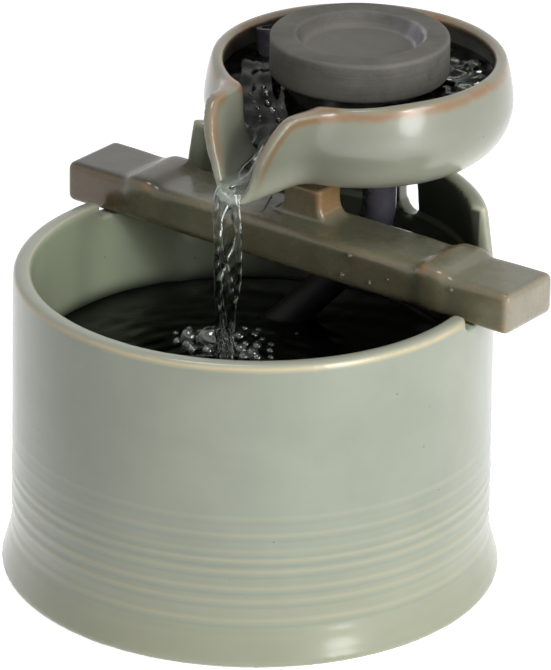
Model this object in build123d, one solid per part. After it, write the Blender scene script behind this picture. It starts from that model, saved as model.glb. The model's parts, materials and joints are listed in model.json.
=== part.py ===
from build123d import *
import math
import os

os.makedirs("parts", exist_ok=True)

# A tabletop fountain: a thrown ceramic basin whose back wall stands higher than its rim, a crossbar
# laid over the basin, a bowl with a beak spout that stands on the crossbar and on the back wall, a stone
# cover in the bowl, and a small pump on the basin's floor with its hose.
# Origin: centre of the basin's foot, on the table. +Z up, the spout pours towards -Y, the crossbar is along X.

# Clearances that several pieces share
seat_gap = 0.3
run_gap = 0.05
overrun = 20.0

# Basin
rim_radius = 92.5
rim_height = 123.4
back_rise = 24.1
back_lean = 3.0
basin_wall = 7.2
basin_floor = 8.0
waist_spread = 0.6
foot_spread = 5.1
flare_height = 19.0
flare_bulge_share = 0.36
foot_edge = 1.5
foot_ring_width = 9.0
foot_recess = 2.0
inner_corner = 12.0
rim_round = 2.4
throwing_ring_count = 13
throwing_ring_first = 18.5
throwing_ring_pitch = 4.0
throwing_ring_depth = 0.5
throwing_ring_fade_share = 0.8
seat_front = 12.5
seat_back = 55.5
seat_depth = 5.6
seat_round = 2.0
slot_width = 10.5
slot_depth = 26.5
slot_side = 12.0

# Crossbar
bar_length = 213.0
bar_width = 30.5
bar_height = 16.6
bar_middle = 32.35
bar_round = 2.8
collar_start = 63.2
collar_width = 14.0
collar_proud = 1.2
collar_rise = 2.3
collar_round = 2.6
post_width = 18.0
post_depth = 15.0
post_middle = 36.8
post_flare = 6.5
post_round = 2.2

# Bowl
bowl_middle = 66.0
bowl_foot_radius = 30.0
bowl_foot_width = 10.5
bowl_foot_height = 3.0
bowl_recess = 4.0
bowl_floor = 5.0
belly_radius = 60.3
belly_height = 26.7
crest_height = 44.3
crest_radius = 57.6
rim_thickness = 5.2
crest_round = 2.3
bowl_wall = 4.3
inner_floor_radius = 30.0

# Beak spout of the bowl. Its sections are Vs with a round keel, across its length.
spout_reach = 83.0
spout_wall = 4.2
spout_half = 20.6
spout_round = 8.4
spout_keel = 5.6
spout_beak = 3.0
spout_tip_round = 3.4
spout_corner = 13.0
spout_corner_height = 22.0

# Each section's place along the reach, half width at the crest, round of the keel and height of the keel,
# as shares of the sizes above: where the outside flares into the bowl, and along the channel
spout_flare_shares = [
    (0.47, 2.02, 2.86, 0.79),
    (0.55, 1.68, 2.26, 0.82),
    (0.63, 1.39, 1.85, 0.86),
    (0.75, 1.12, 1.43, 0.91),
    (1.00, 1.00, 1.00, 1.00),
]
channel_shares = [
    (0.36, 1.20, 2.40, 0.90),
    (0.66, 1.06, 1.60, 0.95),
    (1.05, 1.00, 1.00, 1.00),
]

# Stone cover in the bowl
cover_radius = 35.0
cover_rise = 52.5
cover_thick = 16.0
cover_round = 1.4
dish_radius = 25.0
dish_floor_radius = 22.0
dish_depth = 6.0
skirt_radius = 28.5
skirt_wall = 4.0
arch_width = 19.0
arch_height = 20.5
arch_count = 4

# Hoses
hose_radius = 6.75
hose_bore = 4.5
hose_run_share = 0.45
outlet_end_gap = 0.65
outlet_end_back = 4.0
outlet_end_drop = 1.3

# Each corner of the hoses' routes, as shares of the way along X, Y and Z from one end to the other
supply_route_shares = [
    (0.000, 0.000, 0.206),
    (0.417, 0.433, 0.424),
    (0.724, 0.737, 0.593),
    (1.000, 1.000, 0.811),
]
outlet_route_shares = [
    (0.605, 0.000, 0.000),
    (0.938, 0.583, 0.342),
]

# Fitting that carries the water through the bowl's floor
inlet_x = 11.6
inlet_y = 65.2
inlet_thread_radius = 4.6
inlet_bore = 3.0
inlet_nipple_length = 9.0
inlet_nipple_gap = 0.5
inlet_flange_radius = 7.8
inlet_flange = 2.0
inlet_seal_thick = 1.5
inlet_nut_flats = 12.0
inlet_head_radius = 6.5
inlet_head_height = 12.2
inlet_barb_length = 11.5

# Pump, measured from the axis of its outlet, which stands at a share of the basin's inner radius
pump_x_share = -0.4
pump_y_share = 0.4
pump_side = 30.0
pump_edge = 2.5
pump_lift = 4.0
chamber_length = 12.0
chamber_radius = 10.5
chamber_front = 1.5
intake_radius = 6.0
spigot_length = 4.0
spigot_wall = 1.5
nozzle_bore = 3.0
nozzle_length = 10.0
motor_length = 38.0
motor_wall = 1.8
motor_front = 2.6
well_radius = 7.0
well_wall = 1.2
well_depth = 20.0
end_cap_thick = 2.0
end_cap_spigot = 2.0

# Core, bobbin and winding inside the motor housing
core_leg = 4.0
core_width = 12.0
core_start = 4.0
yoke_length = 4.0
bobbin_wall = 1.0
bobbin_flange = 1.2
winding_depth = 2.6
coil_end_gap = 4.0

# Rotor
shaft_radius = 1.0
magnet_radius = 6.2
magnet_length = 17.0
rotor_neck = 2.5
rotor_neck_radius = 4.0
impeller_radius = 8.8
impeller_plate = 1.0
blade_count = 6
blade_thick = 1.0
blade_length = 7.0
impeller_hub_radius = 3.0
bush_length = 1.2
front_bush_radius = 2.2
rear_bush_radius = 3.5
spider_hub_radius = 3.2
spider_rib = 1.4
spider_ribs = 3

# Seal between the impeller housing and the motor housing
seal_ring_radius = 12.2
seal_wire = 0.78
seal_groove_radius = 0.9

# Intake cover, its sponge and the flow dial
cover_wall = 1.4
cover_length = 12.0
window_inner = 5.0
window_outer = 10.6
window_count = 6
window_share = 0.5
dial_radius = 12.0
dial_thick = 1.8
dial_pivot = 2.0
dial_head = 3.0
dial_head_thick = 0.8
dial_rib = 1.4
dial_rib_height = 2.0
dial_rib_length = 9.0

# Suction cups and cable gland
cup_radius = 5.5
cup_lip = 0.8
cup_neck = 1.8
cup_stem = 1.2
cup_inset = 6.5
gland_radius = 3.5
gland_neck = 2.4
gland_bore = 1.6
gland_length = 6.0
gland_rise = 7.5

# Places worked out from the sizes above
rim_inner = rim_radius - basin_wall
waist_radius = rim_radius + waist_spread
foot_radius = rim_radius + foot_spread
back_height = rim_height + back_rise
slot_bottom = back_height - slot_depth
seat_z = rim_height - seat_depth
bar_top = seat_z + bar_height
bowl_z = back_height
cover_top = bowl_z + cover_rise
bowl_floor_z = bowl_z + bowl_recess + bowl_floor
belly_z = bowl_z + belly_height
crest_z = bowl_z + crest_height
barb_radius = hose_bore - run_gap
inlet_flange_z = bowl_floor_z + inlet_seal_thick
outlet_z = inlet_flange_z + inlet_flange + inlet_head_radius - seat_gap
supply_top = bowl_z - bowl_recess - inlet_nipple_gap
half_side = pump_side / 2
pump_x = rim_inner * pump_x_share
pump_y = rim_inner * pump_y_share
pump_z = basin_floor + pump_lift + half_side
chamber_end = chamber_length / 2
motor_end = chamber_end + motor_length


def revolved(profile, middle_y=0.0):
    """A solid of revolution about an upright axis, from a closed outline in the XZ plane."""
    face = make_face(profile)
    return Pos(0, middle_y, 0) * revolve(face, axis=Axis.Z)


def upright(x, y, z):
    """A place with its axis up."""
    return Pos(x, y, z)


def along_x(x, y, z):
    """A place whose local Z axis runs along +X."""
    return Pos(x, y, z) * Rot(0, 90, 0)


def rod(radius, length):
    """A cylinder that starts at its place and runs along its local Z axis."""
    return Cylinder(radius, length, align=(Align.CENTER, Align.CENTER, Align.MIN))


def tube(outer, inner, length):
    """A hollow cylinder that starts at its place and runs along its local Z axis."""
    return rod(outer, length) - rod(inner, length)


def block(x_size, y_size, z_size):
    """A box that starts at its place and runs along +X, centred on Y and Z."""
    return Box(x_size, y_size, z_size, align=(Align.MIN, Align.CENTER, Align.CENTER))


def pump_at(x):
    """A place on the pump's rotor axis, x along it from the outlet."""
    return Pos(pump_x + x, pump_y, pump_z)


def pump_axis(x):
    """The same place with its local Z axis along the rotor axis."""
    return along_x(pump_x + x, pump_y, pump_z)


# Basin


def foot_flare():
    """The concave flare between the basin's wall and its foot."""
    low = (foot_radius, foot_edge)
    high = (waist_radius, flare_height)
    spread = foot_radius - waist_radius
    middle = (waist_radius + spread * flare_bulge_share, (foot_edge + flare_height) / 2)
    return ThreePointArc(low, middle, high)


def throwing_rings():
    """The line of the fine rings that the potter's fingers left, fading towards the top."""
    points = []
    slope = (rim_radius - waist_radius) / (rim_height - flare_height)
    for ring in range(throwing_ring_count):
        crest = throwing_ring_first + ring * throwing_ring_pitch
        fade = 1 - throwing_ring_fade_share * ring / throwing_ring_count
        valley = crest + throwing_ring_pitch / 2
        crest_r = waist_radius + slope * (crest - flare_height)
        valley_r = waist_radius + slope * (valley - flare_height) - throwing_ring_depth * fade
        points += [(crest_r, crest), (valley_r, valley)]
    return points[1:]


def basin_outline():
    rings = throwing_rings()
    ring_inner = foot_radius - foot_edge - foot_ring_width
    flare = foot_flare()
    corner = rim_inner - inner_corner
    lines = [
        Line((0, foot_recess), (ring_inner, foot_recess)),
        Line((ring_inner, foot_recess), (ring_inner, 0)),
        Line((ring_inner, 0), (foot_radius - foot_edge, 0)),
        Line((foot_radius - foot_edge, 0), (foot_radius, foot_edge)),
        flare,
        Polyline([(waist_radius, flare_height)] + rings + [(rim_radius, rim_height)]),
        Line((rim_radius, rim_height), (rim_radius - back_lean, back_height)),
        Line((rim_radius - back_lean, back_height), (rim_inner - back_lean, back_height)),
        Line((rim_inner - back_lean, back_height), (rim_inner, rim_height)),
        Line((rim_inner, rim_height), (rim_inner, basin_floor + inner_corner)),
        RadiusArc((rim_inner, basin_floor + inner_corner), (corner, basin_floor), inner_corner),
        Line((corner, basin_floor), (0, basin_floor)),
        Line((0, basin_floor), (0, foot_recess)),
    ]
    return Plane.XZ * Curve(lines)


def above(y_low, y_high, z_low):
    """Everything over a height between two places along Y, for cutting the wall down."""
    width = 2 * (foot_radius + overrun)
    low = min(y_low, y_high)
    size = abs(y_high - y_low)
    top = back_height + overrun - z_low
    cut = Box(width, size, top, align=(Align.CENTER, Align.MIN, Align.MIN))
    return Pos(0, low, z_low) * cut


def basin():
    body = revolved(basin_outline())
    body -= above(-foot_radius - overrun, seat_front, rim_height)
    body -= above(seat_front, seat_back, seat_z)
    body -= cable_slot()
    rounded = []
    for edge in body.edges():
        place = edge.center()
        height = edge.bounding_box().size.Z
        level = height < seat_gap and edge.length > slot_width * 2
        rim = level and edge.geom_type != GeomType.LINE and place.Z > seat_z + seat_round
        at_end = abs(place.Y - seat_back) < seat_gap or abs(place.Y - seat_front) < seat_gap
        end = at_end and height > seat_round and place.Z > seat_z
        if rim or end:
            rounded.append(edge)
    return fillet(rounded, rim_round)


def cable_slot():
    """The slot in the back wall's top edge that the pump's cord would lie in."""
    radius = slot_width / 2
    reach = rim_radius + overrun
    round_end = Pos(slot_side, 0, slot_bottom + radius) * Rot(-90, 0, 0) * rod(radius, reach)
    height = back_height + overrun - slot_bottom - radius
    sides = Box(slot_width, reach, height, align=(Align.CENTER, Align.MIN, Align.MIN))
    return round_end + Pos(slot_side, 0, slot_bottom + radius) * sides


# Crossbar


def rounded_bar(x_size, y_size, z_size, radius):
    """A bar with all its edges rounded, centred on X and Y and standing on its place."""
    body = Box(x_size, y_size, z_size, align=(Align.CENTER, Align.CENTER, Align.MIN))
    return fillet(body.edges(), radius)


def bar_post():
    """The post in the middle of the crossbar that carries the bowl, flared at its foot."""
    half = post_width / 2
    foot = half + post_flare
    top = bowl_z - bar_top
    outline = Curve(
        [
            Line((-foot, -bar_round), (foot, -bar_round)),
            Line((foot, -bar_round), (foot, 0)),
            RadiusArc((foot, 0), (half, post_flare), post_flare),
            Line((half, post_flare), (half, top)),
            Line((half, top), (-half, top)),
            Line((-half, top), (-half, post_flare)),
            RadiusArc((-half, post_flare), (-foot, 0), post_flare),
            Line((-foot, 0), (-foot, -bar_round)),
        ]
    )
    face = Plane.XZ * make_face(outline)
    body = extrude(face, amount=post_depth / 2, both=True)
    upright_edges = [
        edge
        for edge in body.edges().filter_by(Axis.Z)
        if edge.length > post_flare / 2 and abs(edge.center().X) < half + seat_gap
    ]
    body = fillet(upright_edges, post_round)
    return Pos(0, post_middle, bar_top) * body


def crossbar():
    body = Pos(0, bar_middle, seat_z) * rounded_bar(bar_length, bar_width, bar_height, bar_round)
    for side in (-1, 1):
        collar = rounded_bar(
            collar_width, bar_width + 2 * collar_proud, bar_height + collar_rise, collar_round
        )
        body += Pos(side * (collar_start + collar_width / 2), bar_middle, seat_z) * collar
    return body + bar_post()


# Bowl


def bowl_outer_outline():
    foot = bowl_foot_radius
    spread = belly_radius - foot
    depth = belly_height - bowl_foot_height
    lean = belly_radius - crest_radius
    crest_start = crest_z - crest_round
    lines = [
        Line((0, bowl_z), (foot, bowl_z)),
        Line((foot, bowl_z), (foot, bowl_z + bowl_foot_height)),
        EllipticalCenterArc((foot, belly_z), spread, depth, 270, arc_size=90),
        ThreePointArc(
            (belly_radius, belly_z),
            (belly_radius - lean / 3, (belly_z + crest_start) / 2),
            (crest_radius, crest_start),
        ),
        ThreePointArc(
            (crest_radius, crest_start),
            (crest_radius - rim_thickness / 2, crest_z),
            (crest_radius - rim_thickness, crest_start),
        ),
        Line((crest_radius - rim_thickness, crest_start), (0, crest_start)),
        Line((0, crest_start), (0, bowl_z)),
    ]
    return Plane.XZ * Curve(lines)


def bowl_inner_outline():
    floor = inner_floor_radius
    inner = belly_radius - bowl_wall
    edge = crest_radius - rim_thickness
    crest_start = crest_z - crest_round
    lines = [
        Line((0, bowl_floor_z), (floor, bowl_floor_z)),
        EllipticalCenterArc((floor, belly_z), inner - floor, belly_z - bowl_floor_z, 270, arc_size=90),
        ThreePointArc(
            (inner, belly_z),
            (inner - (inner - edge) / 3, (belly_z + crest_start) / 2),
            (edge, crest_start),
        ),
        Line((edge, crest_start), (edge, crest_z + overrun)),
        Line((edge, crest_z + overrun), (0, crest_z + overrun)),
        Line((0, crest_z + overrun), (0, bowl_floor_z)),
    ]
    return Plane.XZ * Curve(lines)


def spout_section(y, half, bottom_radius, keel, top):
    """A closed V with a round keel, upright, at one place along Y. It is as wide as stated at the crest."""
    rise = crest_z - keel - bottom_radius
    span = math.hypot(half, rise)
    angle = math.atan2(rise, half) - math.acos(bottom_radius / span)
    touch_x = bottom_radius * math.cos(angle)
    touch_z = keel + bottom_radius + bottom_radius * math.sin(angle)
    wide = half + (half - touch_x) * (top - crest_z) / (crest_z - touch_z)
    outline = Curve(
        [
            Line((-wide, top), (-touch_x, touch_z)),
            ThreePointArc((-touch_x, touch_z), (0, keel), (touch_x, touch_z)),
            Line((touch_x, touch_z), (wide, top)),
            Line((wide, top), (-wide, top)),
        ]
    )
    return Pos(0, y, 0) * (Plane.XZ * make_face(outline))


def spout_loft(station_shares, inset, top):
    """The spout's outside, or its channel when inset is its wall."""
    sections = []
    for along_share, half_share, round_share, keel_share in station_shares:
        y = bowl_middle - spout_reach * along_share
        half = (spout_half - inset) * half_share
        bottom = (spout_round - inset) * round_share
        keel = bowl_z + (spout_keel + inset) * keel_share
        sections.append(spout_section(y, half, bottom, keel, top))
    return loft(sections)


def spout_side():
    """The spout's side view: level along the crest, rounded down to a beak, and round under its tip."""
    front = bowl_middle - spout_reach
    lip = front + spout_beak
    back = bowl_middle
    top = crest_z - crest_round / 2
    corner = top - spout_corner_height
    low = bowl_z - overrun
    keel = bowl_z + spout_keel
    tip = (front + spout_tip_round, keel + spout_tip_round)
    outline = Curve(
        [
            Line((back, low), (tip[0], low)),
            Line((tip[0], low), (tip[0], keel)),
            EllipticalCenterArc(tip, spout_tip_round, spout_tip_round, 180, arc_size=90),
            Line((front, tip[1]), (lip, corner)),
            EllipticalCenterArc(
                (lip + spout_corner, corner), spout_corner, spout_corner_height, 90, arc_size=90
            ),
            Line((lip + spout_corner, top), (back, top)),
            Line((back, top), (back, low)),
        ]
    )
    return extrude(Plane.YZ * make_face(outline), amount=belly_radius, both=True)


def bowl():
    body = revolved(bowl_outer_outline(), bowl_middle)
    body += spout_loft(spout_flare_shares, 0, crest_z) & spout_side()
    body -= revolved(bowl_inner_outline(), bowl_middle)
    body -= spout_loft(channel_shares, spout_wall, crest_z + overrun)
    recess = bowl_foot_radius - bowl_foot_width
    body -= upright(0, bowl_middle, bowl_z) * rod(recess, bowl_recess)
    hole = inlet_thread_radius + seat_gap
    body -= upright(inlet_x, inlet_y, bowl_z) * rod(hole, bowl_recess + bowl_floor)
    return body


# Stone cover


def stone_cover():
    low = cover_top - cover_thick
    body = upright(0, bowl_middle, low) * rod(cover_radius, cover_thick)
    body = fillet(body.edges(), cover_round)
    dish = Cone(
        dish_floor_radius,
        dish_radius,
        dish_depth,
        align=(Align.CENTER, Align.CENTER, Align.MIN),
    )
    body -= upright(0, bowl_middle, cover_top - dish_depth) * dish
    skirt = tube(skirt_radius, skirt_radius - skirt_wall, low - bowl_floor_z)
    body += upright(0, bowl_middle, bowl_floor_z) * skirt
    straight = arch_height - arch_width / 2
    for arch in range(arch_count):
        turn = Pos(0, bowl_middle, bowl_floor_z) * Rot(0, 0, arch * 360 / arch_count)
        slot = Box(
            skirt_radius + skirt_wall,
            arch_width,
            straight,
            align=(Align.MIN, Align.CENTER, Align.MIN),
        )
        crown = Pos(0, 0, straight) * Rot(0, 90, 0) * rod(arch_width / 2, skirt_radius + skirt_wall)
        clear = rod(skirt_radius - skirt_wall - seat_gap, arch_height)
        body -= turn * ((slot + crown) - clear)
    return body


# Fitting through the bowl's floor


def inlet_elbow():
    nipple_low = supply_top - inlet_nipple_length
    place = upright(inlet_x, inlet_y, nipple_low)
    body = place * rod(barb_radius, inlet_nipple_length)
    thread = upright(inlet_x, inlet_y, supply_top)
    body += thread * rod(inlet_thread_radius, inlet_flange_z - supply_top)
    body += upright(inlet_x, inlet_y, inlet_flange_z) * rod(inlet_flange_radius, inlet_flange)
    head_z = inlet_flange_z + inlet_flange
    head = upright(inlet_x, inlet_y, head_z) * rod(inlet_head_radius, inlet_head_height)
    body += fillet(head.edges().sort_by(Axis.Z)[-1], inlet_head_radius / 2)
    barb = inlet_head_radius + inlet_barb_length
    body += along_x(inlet_x - barb, inlet_y, outlet_z) * rod(barb_radius, barb)
    body -= place * rod(inlet_bore, outlet_z - nipple_low + inlet_bore)
    body -= along_x(inlet_x - barb, inlet_y, outlet_z) * rod(inlet_bore, barb)
    return body


def inlet_seal():
    hole = inlet_thread_radius + run_gap
    return upright(inlet_x, inlet_y, bowl_floor_z) * tube(
        inlet_flange_radius, hole, inlet_seal_thick
    )


def inlet_nut():
    hexagon = RegularPolygon(inlet_nut_flats / 2, 6, major_radius=False)
    nut = extrude(hexagon, bowl_recess) - rod(inlet_thread_radius + run_gap, bowl_recess)
    return upright(inlet_x, inlet_y, bowl_z) * nut


# Hoses


def bend_radii(points):
    """The largest arc that each corner of a route leaves room for."""
    radii = []
    for before, corner, after in zip(points, points[1:], points[2:]):
        first = Vector(*corner) - Vector(*before)
        second = Vector(*after) - Vector(*corner)
        turn = math.radians(first.get_angle(second))
        radii.append(hose_run_share * min(first.length, second.length) / math.tan(turn / 2))
    return radii


def hose(name, points):
    """A hollow hose along straight runs joined by tangent arcs."""
    radii = bend_radii(points)
    path = FilletPolyline(*points, radius=radii)
    start = Plane(origin=points[0], z_dir=path % 0)
    outside = sweep(start * Circle(hose_radius), path=path)
    bore = sweep(start * Circle(hose_bore), path=path)
    body = outside - bore
    expected = math.pi * (hose_radius**2 - hose_bore**2) * path.length
    print(name, "radii", [round(radius, 1) for radius in radii])
    print(name, "length", round(path.length, 1), "volume share", round(body.volume / expected, 4))
    return body


def route(start, end, corner_shares):
    """The corners of a route between two ends, from their shares of the way."""
    corners = []
    for shares in corner_shares:
        corners.append(tuple(a + (b - a) * share for a, b, share in zip(start, end, shares)))
    return [start] + corners + [end]


def supply_hose():
    start = (pump_x, pump_y, pump_z + half_side + seat_gap)
    end = (inlet_x, inlet_y, supply_top)
    return hose("supply_hose", route(start, end, supply_route_shares))


def outlet_hose():
    start = (inlet_x - inlet_head_radius - inlet_flange, inlet_y, outlet_z)
    side = crest_radius - rim_thickness - outlet_end_gap - hose_radius
    end = (-side, bowl_middle + outlet_end_back, crest_z - outlet_end_drop)
    return hose("outlet_hose", route(start, end, outlet_route_shares))


# Pump


def pump_block(x, length, side):
    """A square block along the rotor axis with its long edges rounded."""
    body = block(length, side, side)
    body = fillet(body.edges().filter_by(Axis.X), pump_edge)
    return pump_at(x) * body


def impeller_housing():
    body = pump_block(-chamber_end, chamber_length, pump_side)
    spigot_side = pump_side - 2 * cover_wall - 2 * seat_gap
    spigot = pump_block(-chamber_end - spigot_length, spigot_length, spigot_side)
    body += spigot - pump_block(
        -chamber_end - spigot_length, spigot_length, spigot_side - 2 * spigot_wall
    )
    nozzle = upright(pump_x, pump_y, pump_z)
    body += nozzle * rod(barb_radius, half_side + nozzle_length)
    body -= pump_axis(-chamber_end + chamber_front) * rod(
        chamber_radius, chamber_length - chamber_front
    )
    body -= pump_axis(-chamber_end) * rod(intake_radius, chamber_front)
    body += spider()
    body -= nozzle * rod(nozzle_bore, half_side + nozzle_length + overrun)
    return body


def spider():
    """The three ribs and the hub that hold the front bush in the intake."""
    hub = pump_axis(-chamber_end) * rod(spider_hub_radius, bush_length)
    for rib in range(spider_ribs):
        bar = Box(
            spider_rib,
            intake_radius + seat_gap,
            bush_length,
            align=(Align.CENTER, Align.MIN, Align.MIN),
        )
        hub += pump_axis(-chamber_end) * Rot(0, 0, rib * 360 / spider_ribs) * bar
    return hub - pump_axis(-chamber_end) * rod(front_bush_radius, bush_length)


def motor_housing():
    body = pump_block(chamber_end, motor_length, pump_side)
    inside = pump_side - 2 * motor_wall
    body -= pump_block(chamber_end + motor_front, motor_length, inside)
    well = chamber_end + well_depth + well_wall
    body += pump_axis(chamber_end) * rod(well_radius + well_wall, well - chamber_end)
    body -= pump_axis(chamber_end) * rod(well_radius, well_depth)
    groove = seal_ring_radius + seal_groove_radius
    ring = tube(groove, seal_ring_radius - seal_groove_radius, 2 * seal_wire + run_gap)
    body -= pump_axis(chamber_end) * ring
    for place in cup_places():
        body -= place * Pos(0, 0, pump_lift) * rod(cup_neck + run_gap, cup_stem)
    return body


def housing_seal():
    ring = Torus(seal_ring_radius, seal_wire)
    return pump_axis(chamber_end + seal_wire + run_gap / 2) * ring


def end_cap():
    body = pump_block(motor_end, end_cap_thick, pump_side)
    inner = pump_side - 2 * motor_wall - 2 * run_gap
    body += pump_block(motor_end - end_cap_spigot, end_cap_spigot, inner)
    hole = along_x(pump_x + motor_end - end_cap_spigot, pump_y, pump_z + gland_rise)
    return body - hole * rod(gland_neck + run_gap, end_cap_spigot + end_cap_thick)


def core_places():
    """Where the yoke starts and ends along the rotor axis."""
    yoke_end = motor_end - end_cap_spigot - coil_end_gap
    return yoke_end - yoke_length, yoke_end


def stator_core():
    yoke_start, yoke_end = core_places()
    inner = well_radius + well_wall + seat_gap
    length = yoke_end - chamber_end - core_start
    body = None
    for side in (-1, 1):
        leg = Box(length, core_width, core_leg, align=(Align.MIN, Align.CENTER, Align.CENTER))
        placed = pump_at(chamber_end + core_start) * Pos(0, 0, side * (inner + core_leg / 2)) * leg
        body = placed if body is None else body + placed
    yoke = Box(
        yoke_length,
        core_width,
        2 * inner + core_leg,
        align=(Align.MIN, Align.CENTER, Align.CENTER),
    )
    return body + pump_at(yoke_start) * yoke


def coil_bobbin():
    yoke_start, yoke_end = core_places()
    middle = pump_at((yoke_start + yoke_end) / 2)
    height = 2 * (well_radius + well_wall)
    inner_x = yoke_length + 2 * run_gap
    inner_y = core_width + 2 * run_gap
    sleeve = Box(inner_x + 2 * bobbin_wall, inner_y + 2 * bobbin_wall, height)
    spread = 2 * (bobbin_wall + winding_depth)
    for side in (-1, 1):
        plate = Box(inner_x + spread, inner_y + spread, bobbin_flange)
        sleeve += Pos(0, 0, side * (height - bobbin_flange) / 2) * plate
    return middle * (sleeve - Box(inner_x, inner_y, height))


def coil_winding():
    yoke_start, yoke_end = core_places()
    middle = pump_at((yoke_start + yoke_end) / 2)
    height = 2 * (well_radius + well_wall - bobbin_flange - run_gap)
    inner_x = yoke_length + 2 * (bobbin_wall + 2 * run_gap)
    inner_y = core_width + 2 * (bobbin_wall + 2 * run_gap)
    depth = 2 * (winding_depth - 2 * run_gap)
    outside = Box(inner_x + depth, inner_y + depth, height)
    outside = fillet(outside.edges().filter_by(Axis.Z), winding_depth / 2)
    return middle * (outside - Box(inner_x, inner_y, height))


# Rotor


def magnet_place():
    """Where the magnet starts along the rotor's axis."""
    magnet_end = chamber_end + well_depth - bush_length - seat_gap
    return magnet_end - magnet_length


def rotor_magnet():
    magnet_start = magnet_place()
    return pump_axis(magnet_start) * tube(magnet_radius, shaft_radius + run_gap, magnet_length)


def impeller():
    magnet_start = magnet_place()
    plate_start = magnet_start - rotor_neck - impeller_plate
    blade_start = plate_start - blade_length
    body = pump_axis(plate_start) * rod(impeller_radius, impeller_plate)
    body += pump_axis(plate_start) * rod(rotor_neck_radius, rotor_neck + impeller_plate)
    body += pump_axis(blade_start) * rod(impeller_hub_radius, blade_length)
    for blade in range(blade_count):
        vane = Box(
            impeller_radius,
            blade_thick,
            blade_length,
            align=(Align.MIN, Align.CENTER, Align.MIN),
        )
        body += pump_axis(blade_start) * Rot(0, 0, blade * 360 / blade_count) * vane
    rotor_length = magnet_start - blade_start
    body &= pump_axis(blade_start) * rod(impeller_radius, rotor_length)
    return body - pump_axis(blade_start) * rod(shaft_radius + run_gap, rotor_length)


def rotor_shaft():
    start = -chamber_end
    return pump_axis(start) * rod(shaft_radius, chamber_length + well_depth)


def front_bush():
    return pump_axis(-chamber_end) * tube(
        front_bush_radius - run_gap, shaft_radius + run_gap, bush_length
    )


def rear_bush():
    start = chamber_end + well_depth - bush_length
    return pump_axis(start) * tube(rear_bush_radius, shaft_radius + run_gap, bush_length)


# Intake cover, sponge and flow dial


def windows(outer, inner):
    """Six sectors of a ring, as long rods along the rotor axis, for cutting."""
    spread = 360 / window_count
    half = math.radians(spread * window_share / 2)
    shape = None
    for window in range(window_count):
        sector = Curve(
            [
                Line(polar(inner, -half), polar(outer, -half)),
                ThreePointArc(polar(outer, -half), polar(outer, 0), polar(outer, half)),
                Line(polar(outer, half), polar(inner, half)),
                ThreePointArc(polar(inner, half), polar(inner, 0), polar(inner, -half)),
            ]
        )
        piece = Rot(0, 0, window * spread) * extrude(make_face(sector), amount=cover_length)
        shape = piece if shape is None else shape + piece
    return shape


def polar(radius, angle):
    return (radius * math.cos(angle), radius * math.sin(angle))


def intake_front():
    """Where the intake cover's front face lies along the rotor axis."""
    return -chamber_end - cover_length


def intake_cover():
    front = intake_front()
    body = pump_block(front, cover_length, pump_side)
    body -= pump_block(front + cover_wall, cover_length, pump_side - 2 * cover_wall)
    body -= pump_axis(front - cover_wall) * windows(window_outer, window_inner)
    pivot_length = seat_gap + dial_thick + seat_gap
    body += pump_axis(front - pivot_length) * rod(dial_pivot, pivot_length)
    body += pump_axis(front - pivot_length - dial_head_thick) * rod(dial_head, dial_head_thick)
    return body


def filter_sponge():
    start = intake_front() + cover_wall
    side = pump_side - 2 * cover_wall - 2 * seat_gap
    length = cover_length - cover_wall - spigot_length - seat_gap
    return pump_block(start, length, side)


def flow_dial():
    start = intake_front() - seat_gap - dial_thick
    body = pump_axis(start) * rod(dial_radius, dial_thick)
    body -= pump_axis(start - cover_wall) * windows(window_outer, window_inner)
    body -= pump_axis(start) * rod(dial_pivot + run_gap, dial_thick)
    spread = 360 / window_count
    for side in (0, 180):
        rib = Box(
            dial_rib,
            dial_rib_length,
            dial_rib_height,
            align=(Align.CENTER, Align.MIN, Align.MAX),
        )
        turn = Rot(0, 0, side + spread / 2 - 90)
        offset = Pos(0, dial_head + seat_gap, 0)
        body += pump_axis(start) * turn * offset * rib
    return body & (pump_axis(start - dial_rib_height) * rod(dial_radius, overrun))


# Suction cups and cable gland


def cup_places():
    """Under the motor housing's four corners, on the basin's floor."""
    places = []
    for x in (chamber_end + cup_inset, motor_end - cup_inset):
        for side in (-1, 1):
            y = pump_y + side * (half_side - cup_inset)
            places.append(Pos(pump_x + x, y, basin_floor))
    return places


def suction_cups():
    """Four alike, each a bell on the floor with a stem in the housing."""
    outline = Curve(
        [
            Line((0, cup_lip), (cup_neck, cup_lip)),
            Line((cup_neck, cup_lip), (cup_radius - cup_lip, 0)),
            Line((cup_radius - cup_lip, 0), (cup_radius, 0)),
            Line((cup_radius, 0), (cup_radius, cup_lip)),
            Line((cup_radius, cup_lip), (cup_neck, pump_lift)),
            Line((cup_neck, pump_lift), (cup_neck, pump_lift + cup_stem)),
            Line((cup_neck, pump_lift + cup_stem), (0, pump_lift + cup_stem)),
            Line((0, pump_lift + cup_stem), (0, cup_lip)),
        ]
    )
    cup = revolved(Plane.XZ * outline)
    return Compound([place * cup for place in cup_places()])


def cable_gland():
    inner = pump_x + motor_end - end_cap_spigot
    outer = pump_x + motor_end + end_cap_thick
    height = pump_z + gland_rise
    body = along_x(inner, pump_y, height) * rod(gland_neck, outer - inner)
    boot = Cone(
        gland_radius,
        gland_neck,
        gland_length,
        align=(Align.CENTER, Align.CENTER, Align.MIN),
    )
    body += along_x(outer, pump_y, height) * boot
    length = outer - inner + gland_length
    return body - along_x(inner, pump_y, height) * rod(gland_bore, length)


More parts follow.
